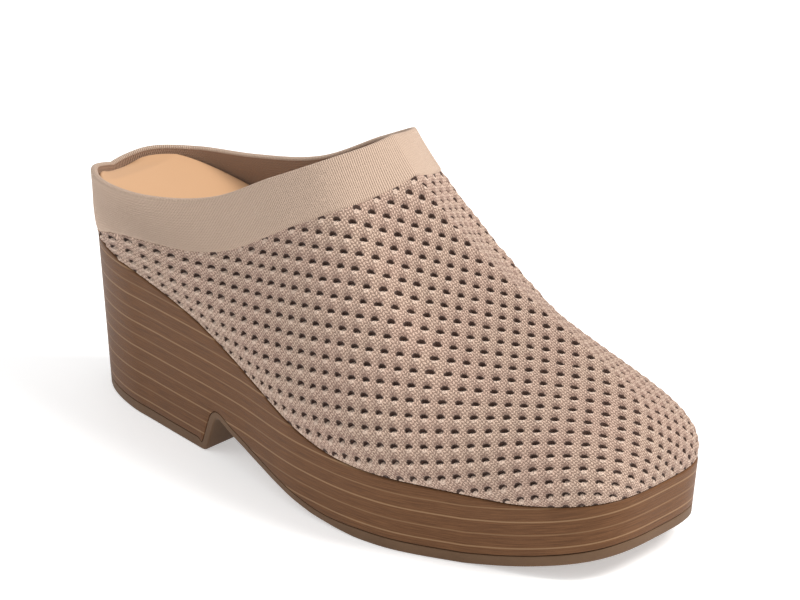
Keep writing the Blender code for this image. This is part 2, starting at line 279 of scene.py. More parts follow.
def offset_line(x, height, amount):
    """The line moved along its own normal by amount, read again as a height at each x."""
    dx = np.gradient(x)
    dz = np.gradient(height)
    size = np.hypot(dx, dz)
    moved_x = x - dz / size * amount
    moved_z = height + dx / size * amount
    order = np.maximum.accumulate(moved_x)
    keep = np.concatenate(([True], np.diff(order) > 1e-7))
    return np.interp(x, moved_x[keep], moved_z[keep])


_, platform_y = plan(np.linspace(0, 1, 2001), -1)
SHIFT = np.array([DX, DY - float(platform_y.min()), 0.0])


def grid_faces(rows, columns, close_rows=False, flip=False):
    """Quads of a grid of points, closed round its first axis if asked."""
    index = np.arange(rows * columns).reshape(rows, columns)
    if close_rows:
        index = np.concatenate((index, index[:1]), axis=0)
    quads = np.stack((index[:-1, :-1], index[1:, :-1], index[1:, 1:], index[:-1, 1:]), axis=-1)
    quads = quads.reshape(-1, 4)
    return quads[:, ::-1] if flip else quads


def add_piece(name, node, points, quads, material, maps=(), weld=0.0):
    """Mesh object from arrays of points and quads, with named flat maps given per point."""
    points = np.asarray(points, dtype=float).reshape(-1, 3) + SHIFT
    mesh = bpy.data.meshes.new(name)
    mesh.vertices.add(len(points))
    mesh.vertices.foreach_set("co", points.ravel())
    mesh.loops.add(quads.size)
    mesh.loops.foreach_set("vertex_index", quads.ravel().astype(np.int32))
    mesh.polygons.add(len(quads))
    mesh.polygons.foreach_set("loop_start", np.arange(0, quads.size, 4, dtype=np.int32))
    mesh.polygons.foreach_set("loop_total", np.full(len(quads), 4, dtype=np.int32))
    mesh.update(calc_edges=True)
    for label, values in maps:
        layer = mesh.uv_layers.new(name=label)
        layer.data.foreach_set("uv", values.reshape(-1, 2)[quads.ravel()].ravel())
    if weld:
        work = bmesh.new()
        work.from_mesh(mesh)
        bmesh.ops.remove_doubles(work, verts=work.verts, dist=weld)
        bmesh.ops.dissolve_degenerate(work, edges=work.edges, dist=weld)
        bmesh.ops.recalc_face_normals(work, faces=work.faces)
        if work.calc_volume(signed=True) < 0:
            bmesh.ops.reverse_faces(work, faces=work.faces)
        work.to_mesh(mesh)
        work.free()
    mesh.validate()
    mesh.polygons.foreach_set("use_smooth", np.ones(len(mesh.polygons), dtype=bool))
    mesh.materials.append(material)
    piece = bpy.data.objects.new(name, mesh)
    bpy.context.scene.collection.objects.link(piece)
    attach(piece, "root")
    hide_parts(node)
    return piece


def make_group(name, inputs, outputs):
    """Empty node group with named inputs (name, default) and outputs (name, kind)."""
    group = bpy.data.node_groups.new(name, "ShaderNodeTree")
    for label, default in inputs:
        kind = "NodeSocketFloat"
        if default == "vector":
            kind = "NodeSocketVector"
        elif not isinstance(default, (int, float)):
            kind = "NodeSocketColor"
        socket = group.interface.new_socket(label, in_out="INPUT", socket_type=kind)
        if default != "vector":
            socket.default_value = default
    for label, kind in outputs:
        group.interface.new_socket(label, in_out="OUTPUT", socket_type=kind)
    return group, group.nodes.new("NodeGroupInput"), group.nodes.new("NodeGroupOutput")


class Net:
    """Short calls that add nodes to one tree."""

    def __init__(self, tree):
        self.tree = tree

    def put(self, kind, **settings):
        node = self.tree.nodes.new(kind)
        for key, value in settings.items():
            setattr(node, key, value)
        return node

    def link(self, source, target):
        if isinstance(source, (int, float)):
            target.default_value = source
        elif isinstance(source, tuple):
            target.default_value = source
        else:
            self.tree.links.new(source, target)

    def math(self, operation, a, b=0.0, c=0.0, clamp=False):
        node = self.put("ShaderNodeMath", operation=operation, use_clamp=clamp)
        self.link(a, node.inputs[0])
        self.link(b, node.inputs[1])
        self.link(c, node.inputs[2])
        return node.outputs[0]

    def ramp(self, value, low, high, to_low=0.0, to_high=1.0):
        node = self.put("ShaderNodeMapRange", interpolation_type="SMOOTHSTEP")
        for socket, v in zip(node.inputs[:5], (value, low, high, to_low, to_high)):
            self.link(v, socket)
        return node.outputs[0]

    def mix(self, factor, a, b, mode="MIX"):
        node = self.put("ShaderNodeMix", data_type="RGBA", blend_type=mode)
        self.link(factor, node.inputs[0])
        self.link(a, node.inputs[6])
        self.link(b, node.inputs[7])
        return node.outputs[2]

    def noise(self, vector, scale, detail=3.0, rough=0.5):
        node = self.put("ShaderNodeTexNoise")
        self.link(vector, node.inputs["Vector"])
        node.inputs["Scale"].default_value = scale
        node.inputs["Detail"].default_value = detail
        node.inputs["Roughness"].default_value = rough
        return node.outputs["Fac"]

    def split(self, vector):
        node = self.put("ShaderNodeSeparateXYZ")
        self.link(vector, node.inputs[0])
        return node.outputs

    def join(self, x, y, z=0.0):
        node = self.put("ShaderNodeCombineXYZ")
        self.link(x, node.inputs[0])
        self.link(y, node.inputs[1])
        self.link(z, node.inputs[2])
        return node.outputs[0]

    def bump(self, height, distance, strength=1.0):
        node = self.put("ShaderNodeBump")
        node.inputs["Strength"].default_value = strength
        node.inputs["Distance"].default_value = distance
        self.link(height, node.inputs["Height"])
        return node.outputs["Normal"]


def new_material(name, rough=0.5, **constants):
    """Material with one surface shader; constants go straight on its sockets."""
    material = bpy.data.materials.new(name)
    material.use_nodes = True
    shader = material.node_tree.nodes["Principled BSDF"]
    shader.inputs["Roughness"].default_value = rough
    for key, value in constants.items():
        shader.inputs[key.replace("_", " ")].default_value = value
    return material, Net(material.node_tree), shader


def stitch_group():
    """Columns of V stitches: a wave along the column whose phase rises away from the column's middle, and a
    mask of the low places between the legs for painted shade.
    """
    group, inside, outside = make_group(
        "v_stitches",
        (
            ("Pattern", "vector"), ("Wales", 1.0), ("Courses", 1.0), ("Lean", 0.8),
            ("Ribbing", 0.0),
        ),
        (("Height", "NodeSocketFloat"), ("PaintedGapShade", "NodeSocketFloat")),
    )
    net = Net(group)
    along, across, _ = net.split(inside.outputs["Pattern"])
    column = net.math("MULTIPLY", across, inside.outputs["Wales"])
    off = net.math("ABSOLUTE", net.math("SUBTRACT", net.math("FRACT", column), 0.5))
    rise = net.math("MULTIPLY", off, inside.outputs["Lean"])
    phase = net.math("ADD", net.math("MULTIPLY", along, inside.outputs["Courses"]), rise)
    wave = net.math("SINE", net.math("MULTIPLY", phase, 2 * math.pi))
    loop = net.math("MULTIPLY_ADD", wave, 0.5, 0.5)
    leg = net.math("SUBTRACT", 1.0, net.math("ABSOLUTE", net.math("MULTIPLY_ADD", off, 4.0, -1.0)))
    leg = net.ramp(leg, 0.0, 0.8, 0.12, 1.0)
    flat = net.math("MULTIPLY", inside.outputs["Ribbing"], net.math("SUBTRACT", 1.0, loop))
    height = net.math("MULTIPLY", net.math("POWER", net.math("ADD", loop, flat), 0.7), leg)
    group.links.new(height, outside.inputs["Height"])
    group.links.new(net.ramp(height, 0.05, 0.50, 1.0, 0.0), outside.inputs["PaintedGapShade"])
    return group


def cell_group():
    """One hole per cell: an oval pit, a loop biting into it from below (raised, and lightened with a painted
    highlight), and above it a patch that only carries painted shade.
    """
    group, inside, outside = make_group(
        "hole_cells",
        (("Pattern", "vector"),),
        (("Hole", "NodeSocketFloat"), ("Loop", "NodeSocketFloat"), ("Slope", "NodeSocketFloat")),
    )
    net = Net(group)
    p, q, _ = net.split(inside.outputs["Pattern"])
    a = net.math("SUBTRACT", net.math("FRACT", net.math("ADD", net.math("ADD", p, q), 0.5)), 0.5)
    b = net.math("SUBTRACT", net.math("FRACT", net.math("ADD", net.math("SUBTRACT", p, q), 0.5)), 0.5)

    def oval(at_a, at_b, wide, tall):
        """Distance from a centre in shares of two half widths."""
        u = net.math("DIVIDE", net.math("SUBTRACT", a, at_a), wide)
        v = net.math("DIVIDE", net.math("SUBTRACT", b, at_b), tall)
        return net.math("SQRT", net.math("MULTIPLY_ADD", u, u, net.math("MULTIPLY", v, v)))

    loop = net.ramp(oval(0.06, 0.20, 0.21, 0.20), 0.75, 1.1, 1.0, 0.0)
    pit = net.ramp(oval(-0.01, 0.01, 0.27, 0.19), 0.75, 1.1, 1.0, 0.0)
    # mask of the patch above each hole, used only for painted shade in the colour
    slope = net.ramp(oval(-0.04, -0.26, 0.40, 0.26), 0.35, 1.1, 1.0, 0.0)
    group.links.new(net.math("MULTIPLY", pit, net.math("SUBTRACT", 1.0, loop)), outside.inputs["Hole"])
    group.links.new(loop, outside.inputs["Loop"])
    group.links.new(slope, outside.inputs["Slope"])
    return group


CELLS = cell_group()
STITCHES = stitch_group()


def use_group(net, group, **values):
    """One use of a shared group, with its inputs by name."""
    node = net.put("ShaderNodeGroup", node_tree=group)
    for key, value in values.items():
        net.link(value, node.inputs[key.replace("_", " ")])
    return node.outputs


def flat_map(net, label, scale=1000.0):
    """A piece's own flat map, in millimetres unless told otherwise."""
    node = net.put("ShaderNodeUVMap", uv_map=label)
    sized = net.put("ShaderNodeVectorMath", operation="SCALE")
    net.link(node.outputs[0], sized.inputs[0])
    sized.inputs["Scale"].default_value = scale
    return sized.outputs[0]


def open_knit_material():
    """Open knit: staggered holes and V stitches from the pattern map, whose unit is one row of holes."""
    material, net, shader = new_material("open_knit", 0.92, Sheen_Weight=0.04, Sheen_Roughness=0.6)
    pattern = flat_map(net, "pattern", 1.0)
    wobble = net.put("ShaderNodeTexNoise")
    net.link(pattern, wobble.inputs["Vector"])
    wobble.inputs["Scale"].default_value = 1.3
    wobble.inputs["Detail"].default_value = 1.0
    moved = net.put("ShaderNodeVectorMath", operation="MULTIPLY_ADD")
    net.link(wobble.outputs["Color"], moved.inputs[0])
    moved.inputs[1].default_value = (0.16, 0.16, 0.0)
    net.link(pattern, moved.inputs[2])
    centred = net.put("ShaderNodeVectorMath", operation="SUBTRACT")
    net.link(moved.outputs[0], centred.inputs[0])
    centred.inputs[1].default_value = (0.08, 0.08, 0.0)
    cell = use_group(net, CELLS, Pattern=centred.outputs[0])
    stitch = use_group(net, STITCHES, Pattern=centred.outputs[0], Wales=WALES, Courses=COURSES, Lean=0.9)
    fibre = net.noise(pattern, 25.0, 3.0, 0.7)
    tone = net.noise(pattern, 0.35, 2.0)
    base = net.mix(fibre, (0.50, 0.350, 0.262, 1), (0.66, 0.49, 0.385, 1))
    base = net.mix(net.math("MULTIPLY", net.ramp(tone, 0.35, 0.65), 0.35), base, (0.56, 0.37, 0.30, 1))
    # painted shade between the stitches, where the yarn lies low
    base = net.mix(net.math("MULTIPLY", stitch["PaintedGapShade"], 0.75), base, (0.13, 0.070, 0.048, 1))
    # painted shade: the patch above each hole darkened to purple-brown
    base = net.mix(net.math("MULTIPLY", cell["Slope"], 0.62), base, (0.19, 0.108, 0.082, 1))
    # painted highlight: the loop below each hole lightened as if lit from above
    base = net.mix(net.math("MULTIPLY", cell["Loop"], 0.50), base, (0.80, 0.62, 0.50, 1))
    # painted shade: the hole pits coloured near-black
    base = net.mix(cell["Hole"], base, (0.045, 0.018, 0.010, 1))
    net.link(base, shader.inputs["Base Color"])
    height = net.math("ADD", net.math("MULTIPLY", stitch["Height"], 0.5), net.math("MULTIPLY", fibre, 0.12))
    raised = net.math("ADD", height, net.math("MULTIPLY", cell["Loop"], 0.3))
    height = net.math("SUBTRACT", raised, cell["Hole"])
    net.link(net.bump(height, 0.0007), shader.inputs["Normal"])
    return material


def band_material():
    """Close knit of the collar band: narrow V stitches square to the edge."""
    material, net, shader = new_material("collar_knit", 0.92, Sheen_Weight=0.04, Sheen_Roughness=0.6)
    pattern = flat_map(net, "pattern")
    stitch = use_group(net, STITCHES, Pattern=pattern, Wales=0.001 / BAND_WALE,
                       Courses=0.001 / BAND_COURSE, Lean=0.6, Ribbing=0.6)
    fibre = net.noise(pattern, 3.0, 3.0, 0.7)
    base = net.mix(fibre, (0.44, 0.312, 0.235, 1), (0.60, 0.45, 0.345, 1))
    # painted shade between the stitches, where the yarn lies low
    base = net.mix(net.math("MULTIPLY", stitch["PaintedGapShade"], 0.6), base, (0.15, 0.086, 0.058, 1))
    net.link(base, shader.inputs["Base Color"])
    net.link(net.bump(stitch["Height"], 0.0003), shader.inputs["Normal"])
    return material


def lining_material():
    """Inside of the knit: the same yarn painted darker as shade, with fine columns and darker painted shade
    between them.
    """
    material, net, shader = new_material("lining_knit", 0.95)
    pattern = flat_map(net, "pattern")
    stitch = use_group(net, STITCHES, Pattern=pattern, Wales=0.001 / BAND_WALE,
                       Courses=0.001 / BAND_COURSE, Lean=0.6, Ribbing=0.6)
    # painted shade: the inside is a darker copy of the yarn colour, darker still where the yarn lies low
    gap = net.math("MULTIPLY", stitch["PaintedGapShade"], 0.6)
    base = net.mix(gap, (0.34, 0.215, 0.145, 1), (0.10, 0.055, 0.035, 1))
    net.link(base, shader.inputs["Base Color"])
    net.link(net.bump(stitch["Height"], 0.0003), shader.inputs["Normal"])
    return material


def platform_material():
    """Stacked look: level lines at even heights that follow the toe spring, over fine level grain."""
    material, net, shader = new_material("stacked_platform", 0.55, Specular_IOR_Level=0.12)
    pattern = flat_map(net, "stack")
    along, up, _ = net.split(pattern)
    sway = net.math("MULTIPLY", net.math("SUBTRACT", net.noise(pattern, 0.02, 2.0), 0.5), 0.5)
    level = net.math("DIVIDE", net.math("SUBTRACT", net.math("ADD", up, sway), LINE_FIRST), LINE_STEP)
    line = net.math("ABSOLUTE", net.math("SUBTRACT", net.math("FRACT", net.math("ADD", level, 0.5)), 0.5))
    pair = net.math("MODULO", net.math("ROUND", level), 2.0)
    stretched = net.join(net.math("MULTIPLY", along, 0.05), net.math("MULTIPLY", up, 1.6))
    grain = net.noise(stretched, 1.6, 6.0, 0.7)
    broad = net.noise(net.join(net.math("MULTIPLY", along, 0.01), net.math("MULTIPLY", up, 0.25)), 1.0, 2.0)
    base = net.mix(net.ramp(grain, 0.3, 0.7), (0.072, 0.028, 0.010, 1), (0.150, 0.068, 0.029, 1))
    base = net.mix(net.math("MULTIPLY", broad, 0.30), base, (0.16, 0.080, 0.038, 1))
    strength = net.math("MULTIPLY_ADD", pair, 0.30, 0.35)
    mark = net.math("MULTIPLY", net.ramp(line, 0.02, 0.085, 1.0, 0.0), strength)
    base = net.mix(mark, base, (0.30, 0.180, 0.095, 1))
    net.link(base, shader.inputs["Base Color"])
    net.link(net.ramp(grain, 0.2, 0.8, 0.42, 0.6), shader.inputs["Roughness"])
    net.link(net.bump(grain, 0.00008), shader.inputs["Normal"])
    return material


def rubber_material():
    """Matt brown-grey rubber with a faint mottle."""
    material, net, shader = new_material("outsole_rubber", 0.62, Specular_IOR_Level=0.25)
    where = net.put("ShaderNodeTexCoord").outputs["Object"]
    mottle = net.noise(where, 90.0, 4.0, 0.6)
    net.link(net.mix(mottle, (0.095, 0.050, 0.024, 1), (0.135, 0.076, 0.040, 1)), shader.inputs["Base Color"])
    net.link(net.bump(net.noise(where, 1500.0, 2.0), 0.00005), shader.inputs["Normal"])
    return material


def footbed_material():
    """Smooth tan cover with a fine pebble."""
    material, net, shader = new_material("footbed_cover", 0.55)
    where = net.put("ShaderNodeTexCoord").outputs["Object"]
    tone = net.noise(where, 25.0, 3.0)
    net.link(net.mix(tone, (0.52, 0.300, 0.160, 1), (0.58, 0.345, 0.19, 1)), shader.inputs["Base Color"])
    net.link(net.bump(net.noise(where, 1400.0, 3.0), 0.00004), shader.inputs["Normal"])
    return material


def half_outline(side, share):
    """Points of the platform's top edge at shares of its run from the heel's back to the toe's tip."""
    at = (1 - np.cos(np.linspace(0, math.pi, 2401))) / 2
    x, y = plan(at, side, FEATHER_INSET)
    run = np.concatenate(([0], np.cumsum(np.hypot(np.diff(x), np.diff(y)))))
    run /= run[-1]
    return np.stack((np.interp(share, run, x), np.interp(share, run, y)), axis=-1)


def collar_edge(at, side):
    """Collar's edge: cosine steps along the foot, half width and height from its table."""
    x = COLLAR_BACK + (THROAT - COLLAR_BACK) * (1 - np.cos(math.pi * at)) / 2
    half = table(COLLAR_ROWS, COLLAR_COLUMNS, "half", at) * COLLAR_HALF
    middle = THROAT_SHIFT * np.clip(2 * at - 1, 0, 1)
    height = table(COLLAR_ROWS, COLLAR_COLUMNS, "up", at) * COLLAR_HEIGHT
    return np.stack((x, middle + side * half, height), axis=-1)


def ribs(half_ribs):
    """Ribs round the shoe, heel back, outer side, toe, inner side: four-point curves edge to collar."""
    share = np.linspace(0, 1, half_ribs + 1)
    foot = np.concatenate((half_outline(-1, share), half_outline(1, share)[-2:0:-1]))
    along = share ** COLLAR_LEAD
    edge = np.concatenate((collar_edge(along, -1), collar_edge(along, 1)[-2:0:-1]))
    share = np.concatenate((share, share[-2:0:-1]))
    foot = np.concatenate((foot, (top_height(foot[:, 0] / LENGTH) + GAP)[:, None]), axis=1)
    tangent = np.roll(foot, -1, axis=0) - np.roll(foot, 1, axis=0)
    tangent[:, 2] = 0
    tangent /= np.linalg.norm(tangent, axis=1)[:, None]
    outward = np.stack((tangent[:, 1], -tangent[:, 0], 0 * tangent[:, 0]), axis=-1)
    handle = {name: table(RIB_ROWS, RIB_COLUMNS, name, share)[:, None] for name in RIB_COLUMNS}
    up = np.array([0.0, 0.0, 1.0])
    first = foot + (outward * handle["lean"] + up * handle["rise"]) * RISE
    back = foot - edge
    back[:, 2] = 0
    back /= np.linalg.norm(back, axis=1)[:, None]
    last = edge + (back * handle["reach"] - up * handle["drop"]) * REACH
    t = np.linspace(0, 1, RIB_SAMPLES)[None, :, None]
    return (
        (1 - t) ** 3 * foot[:, None]
        + 3 * (1 - t) ** 2 * t * first[:, None]
        + 3 * (1 - t) * t ** 2 * last[:, None]
        + t ** 3 * edge[:, None]
    )


def read_rows(fine, wanted_of):
    """Points of each rib at wanted distances; wanted_of gives them from each rib's total length."""
    run = np.linalg.norm(np.diff(fine, axis=1), axis=2)
    run = np.concatenate((np.zeros((len(fine), 1)), np.cumsum(run, axis=1)), axis=1)
    total = run[:, -1] - RIM * (KNIT_WALL + COLLAR_STEP) / 2
    wanted = wanted_of(total)
    flat_run = (run + np.arange(len(fine))[:, None] * APART).ravel()
    flat_want = (wanted + np.arange(len(fine))[:, None] * APART).ravel()
    rows = [np.interp(flat_want, flat_run, fine[:, :, k].ravel()) for k in range(3)]
    return np.stack(rows, axis=-1).reshape(len(fine), wanted.shape[1], 3), wanted, total


def normals_of(rows):
    """Unit normals of a grid that closes round its first axis, from central differences."""
    round_way = np.roll(rows, -1, axis=0) - np.roll(rows, 1, axis=0)
    up_way = np.gradient(rows, axis=1)
    normal = np.cross(round_way, up_way)
    return normal / np.linalg.norm(normal, axis=2)[..., None]


def band_depth(total):
    """Depth of the collar band on each rib: it narrows evenly from the heel to the toe."""
    share = np.linspace(0, 1, len(total) // 2 + 1)
    share = np.concatenate((share, share[-2:0:-1]))
    return np.minimum(COLLAR_BAND * (BAND_BACK + (BAND_FRONT - BAND_BACK) * share), BAND_MOST * total)


def flat_pattern(rows, half_ribs):
    """Pattern coordinates of a coarse grid, laid flat by evening out its edge lengths.

    It starts from the side view turned by SLOPE, with the distance across the
    foot measured down from the ridge, and then moves every point a little at a
    time until neighbours are as far apart as they are on the shoe.
    """
    half = rows[: half_ribs + 1]
    c = math.cos(SLOPE)
    s = math.sin(SLOPE)
    ridge = half[-1]
    x, y, z = half[..., 0], half[..., 1], half[..., 2]
    along = x * c - z * s
    rise = x * s + z * c
    ridge_along = ridge[::-1, 0] * c - ridge[::-1, 2] * s
    ridge_rise = ridge[::-1, 0] * s + ridge[::-1, 2] * c
    top = np.interp(along, ridge_along, ridge_rise)
    across = np.hypot(np.abs(y - RIDGE_SIDE) * 0.9, top - rise) * -1.0
    heel = np.clip(0.03 - x, 0, None)
    along = along - heel * 0.9
    flat = np.stack((along, across), axis=-1)
    flat[-1, :, 1] = 0.0
    run = np.linalg.norm(np.diff(ridge, axis=0), axis=1)
    run = np.concatenate(([0], np.cumsum(run)))
    flat[-1, :, 0] = flat[-1, -1, 0] + (run[-1] - run)
    links = []
    index = np.arange(flat.shape[0] * flat.shape[1]).reshape(flat.shape[:2])
    for a, b in (
        (index[1:], index[:-1]),
        (index[:, 1:], index[:, :-1]),
        (index[1:, 1:], index[:-1, :-1]),
        (index[1:, :-1], index[:-1, 1:]),
    ):
        links.append(np.stack((a.ravel(), b.ravel()), axis=-1))
    links = np.concatenate(links)
    solid = half.reshape(-1, 3)
    rest = np.linalg.norm(solid[links[:, 0]] - solid[links[:, 1]], axis=1)
    flat = flat.reshape(-1, 2)
    count = np.bincount(links.ravel(), minlength=len(flat))[:, None]
    held = index[-1]
    for _ in range(FLATTEN_STEPS):
        gap = flat[links[:, 0]] - flat[links[:, 1]]
        size = np.linalg.norm(gap, axis=1) + 1e-9
        push = gap * ((rest - size) / size * 0.5)[:, None]
        move = np.zeros_like(flat)
        for k in range(2):
            move[:, k] += np.bincount(links[:, 0], push[:, k], len(flat))
            move[:, k] -= np.bincount(links[:, 1], push[:, k], len(flat))
        move *= FLATTEN_PUSH / count
        move[held, 1] = 0.0
        flat += move
    return flat.reshape(half.shape[0], half.shape[1], 2)


def resample(grid, rows, columns):
    """A coarse grid read at a finer even spacing, straight between its points."""
    a = np.linspace(0, grid.shape[0] - 1, rows)
    i = np.clip(a.astype(int), 0, grid.shape[0] - 2)
    f = (a - i)[:, None, None]
    part = grid[i] * (1 - f) + grid[i + 1] * f
    b = np.linspace(0, grid.shape[1] - 1, columns)
    j = np.clip(b.astype(int), 0, grid.shape[1] - 2)
    h = (b - j)[None, :, None]
    return part[:, j] * (1 - h) + part[:, j + 1] * h


def hole_pattern(flat):
    """Row and column numbers of the holes at flat coordinates.

    Both are sums of powers of the distances along and across. Past the ridge
    the rows mirror, rounded over it, and the columns turn over.
    """
    s = flat[..., 0] / PATTERN_UNIT
    g = flat[..., 1] / PATTERN_UNIT
    rows = np.zeros_like(s)
    columns = np.zeros_like(s)
    round_g = -np.hypot(g, RIDGE_ROUND / PATTERN_UNIT)
    near_g = -np.abs(g)
    for along, across, row, column in PATTERN_ROWS:
        rows += row * s ** along * round_g ** across
        ridge = s ** along if across == 0 else 0.0
        near = s ** along * near_g ** across
        columns += column * np.where(g < 0, near, 2 * ridge - near)
    return np.stack((rows, columns), axis=-1)


def hole_height(pattern):
    """Relief of one cell: a pit, and a loop that rises quickly below it and falls slowly to the next row."""
    a = (pattern[..., 0] + pattern[..., 1] + 0.5) % 1.0 - 0.5
    b = pattern[..., 0] - pattern[..., 1]
    near = (b + 0.5) % 1.0 - 0.5
    pit = np.exp(-(((a + 0.01) / PIT_LONG) ** 2 + ((near - 0.01) / PIT_TALL) ** 2) ** 1.5)
    share = (b - 0.05) % 1.0
    tile = np.clip(share / TILE_RISE, 0, 1) * (1 - share) ** 0.8
    return RELIEF * tile * (0.4 + 0.6 * np.cos(math.pi * a) ** 2) - HOLE_DEPTH * pit


HALF_RIBS = 620
COARSE = 62
coarse_ribs = ribs(COARSE)
coarse_rows, _, _ = read_rows(
    coarse_ribs, lambda total: (total - band_depth(total))[:, None] * np.linspace(0, 1, 25)[None, :]
)
coarse_flat = flat_pattern(coarse_rows, COARSE)

fine_ribs = ribs(HALF_RIBS)
LOWER = 230
lower_rows, _, _ = read_rows(
    fine_ribs, lambda total: (total - band_depth(total))[:, None] * np.linspace(0, 1, LOWER)[None, :]
)
lower_normals = normals_of(lower_rows)
half_flat = resample(coarse_flat, HALF_RIBS + 1, LOWER)
mirror = half_flat[-2:0:-1] * np.array([1.0, -1.0])
pattern = hole_pattern(np.concatenate((half_flat, mirror)))
rise_share = np.linspace(0, 1, LOWER)
edge_fade = np.clip(rise_share / 0.03, 0, 1) * np.clip((1 - rise_share) / 0.03, 0, 1)
relief = hole_height(pattern) * edge_fade[None, :]
lower = lower_rows + lower_normals * relief[..., None]
lower[:, 0, 2] = top_height(lower[:, 0, 0] / LENGTH) + GAP

open_knit = open_knit_material()
close_knit = band_material()
lining = lining_material()
count = 2 * HALF_RIBS
parts = 4
for k in range(parts):
    first, last = k * count // parts, (k + 1) * count // parts
    pick = np.arange(first, last + 1) % count
    piece_points = lower[pick]
    piece_map = pattern[pick]
    add_piece(
        f"open_knit_{k + 1}", "upper", piece_points,
        grid_faces(len(pick), LOWER), open_knit, (("pattern", piece_map),),
    )

BAND_RIBS = 500
band_ribs = ribs(BAND_RIBS)
BAND_ROWS = 40
band_rows, band_run, band_total = read_rows(
    band_ribs,
    lambda total: total[:, None] - band_depth(total)[:, None] * (1 - np.linspace(0, 1, BAND_ROWS)[None, :]),
)
band_normals = normals_of(band_rows)
step = COLLAR_STEP * np.clip(np.linspace(0, 1, BAND_ROWS) / 0.04, 0, 1)
outer = band_rows + band_normals * step[None, :, None]
inner_edge = band_rows[:, -1] - band_normals[:, -1] * KNIT_WALL
end_up = band_rows[:, -1] - band_rows[:, -2]
end_up /= np.linalg.norm(end_up, axis=1)[:, None]
half_wall = (KNIT_WALL + COLLAR_STEP) / 2
middle = (outer[:, -1] + inner_edge) / 2
turns = np.radians(np.linspace(15, 180, 12))
rim = (
    middle[:, None]
    + band_normals[:, -1][:, None] * half_wall * np.cos(turns)[None, :, None]
    + end_up[:, None] * half_wall * RIM * np.sin(turns)[None, :, None]
)
band = np.concatenate((outer, rim), axis=1)
edge_run = np.linalg.norm(np.roll(band_rows[:, -1], -1, axis=0) - band_rows[:, -1], axis=1)
edge_run = np.concatenate(([0], np.cumsum(edge_run)))
edge_run *= round(edge_run[-1] / BAND_WALE) * BAND_WALE / edge_run[-1]
past_edge = -half_wall * turns[None, :] * np.ones((len(rim), 1))
deep = np.concatenate((band_total[:, None] - band_run, past_edge), axis=1)
band_closed = np.concatenate((band, band[:1]))
deep = np.concatenate((deep, deep[:1]))
band_map = np.stack((deep, edge_run[:, None] * np.ones_like(deep)), axis=-1)
add_piece(
    "collar_band", "upper", band_closed,
    grid_faces(len(band_closed), band.shape[1]), close_knit, (("pattern", band_map),),
)

INNER_RIBS = 160
inner_ribs = ribs(INNER_RIBS)
inner_rows, inner_run, inner_total = read_rows(
    inner_ribs, lambda total: total[:, None] * np.linspace(0, 1, 60)[None, :]
)
inner = inner_rows - normals_of(inner_rows) * KNIT_WALL
inner[:, 0, 2] = top_height(inner[:, 0, 0] / LENGTH) + GAP
inner_around = np.concatenate(([0], np.cumsum(np.linalg.norm(np.diff(
    np.concatenate((inner_rows[:, -1], inner_rows[:1, -1])), axis=0), axis=1))))
inner_closed = np.concatenate((inner, inner[:1]))
inner_deep = np.concatenate((inner_total[:, None] - inner_run, (inner_total[:, None] - inner_run)[:1]))
inner_map = np.stack((inner_deep, inner_around[:, None] * np.ones_like(inner_deep)), axis=-1)
add_piece(
    "knit_lining", "upper", inner_closed,
    grid_faces(len(inner_closed), 60, flip=True), lining, (("pattern", inner_map),),
)


def stations(count):
    """Shares of the length, closer together at both ends and at the notch."""
    even = (1 - np.cos(np.linspace(0, math.pi, count))) / 2
    return np.sort(np.concatenate((even, np.linspace(0.2885, 0.3655, 60))))


def sole_piece(name, node, low, high, low_round, high_round, material):
    """Sections along the foot, each a loop up the outer wall, over, down the inner wall and under."""
    at = stations(SOLE_STATIONS)
    low = low(at)
    high = high(at)
    top = top_height(at)
    lean = HEEL_DRAFT + (TOE_DRAFT - HEEL_DRAFT) * np.clip((at - 0.3) / 0.3, 0, 1)
    sides = []
    for side in (-1, 1):
        wall = []
        for turn in np.linspace(0, 1, 5):
            angle = turn * math.pi / 2
            wall.append((low + low_round * (1 - math.cos(angle)), low_round * (1 - math.sin(angle))))
        for share in np.linspace(0, 1, 8)[1:-1]:
            a = low + low_round
            b = high - high_round
            wall.append((a + (b - a) * share, 0.0))
        for turn in np.linspace(0, 1, 5):
            angle = turn * math.pi / 2
            wall.append((high - high_round * (1 - math.sin(angle)), high_round * (1 - math.cos(angle))))
        line = []
        for height, shrink in wall:
            x, y = plan(at, side, lean * np.maximum(top - height, 0) + shrink)
            line.append(np.stack((x, y, height), axis=-1))
        sides.append(np.stack(line, axis=1))
    near, far = sides
    over = np.linspace(0, 1, 12)[1:-1][None, :, None]
    across_top = near[:, -1:] * (1 - over) + far[:, -1:] * over
    across_low = far[:, :1] * (1 - over) + near[:, :1] * over
    loop = np.concatenate((near, across_top, far[:, ::-1], across_low), axis=1)
    height = loop[..., 2] - spring(at)[:, None]
    around = np.concatenate(([0], np.cumsum(np.hypot(np.diff(near[:, -1, 0]), np.diff(near[:, -1, 1])))))
    stack = np.stack((around[:, None] * np.ones_like(height), height), axis=-1)
    loop = np.concatenate((loop, loop[:, :1]), axis=1)
    stack = np.concatenate((stack, stack[:, :1]), axis=1)
    quads = grid_faces(loop.shape[0], loop.shape[1])
    return add_piece(name, node, loop, quads, material, (("stack", stack),), weld=0.00001)


line_x, line_low, line_thick = underside()
rubber_top = offset_line(line_x, line_low, line_thick)
block_low = offset_line(line_x, line_low, line_thick + GAP)
sole_piece(
    "rubber_outsole", "outsole",
    lambda at: np.interp(at * LENGTH, line_x, line_low),
    lambda at: np.interp(at * LENGTH, line_x, rubber_top),
    *RUBBER_ROUNDS, rubber_material(),
)
sole_piece(
    "stacked_platform", "platform",
    lambda at: np.interp(at * LENGTH, line_x, block_low),
    top_height, *PLATFORM_ROUNDS, platform_material(),
)


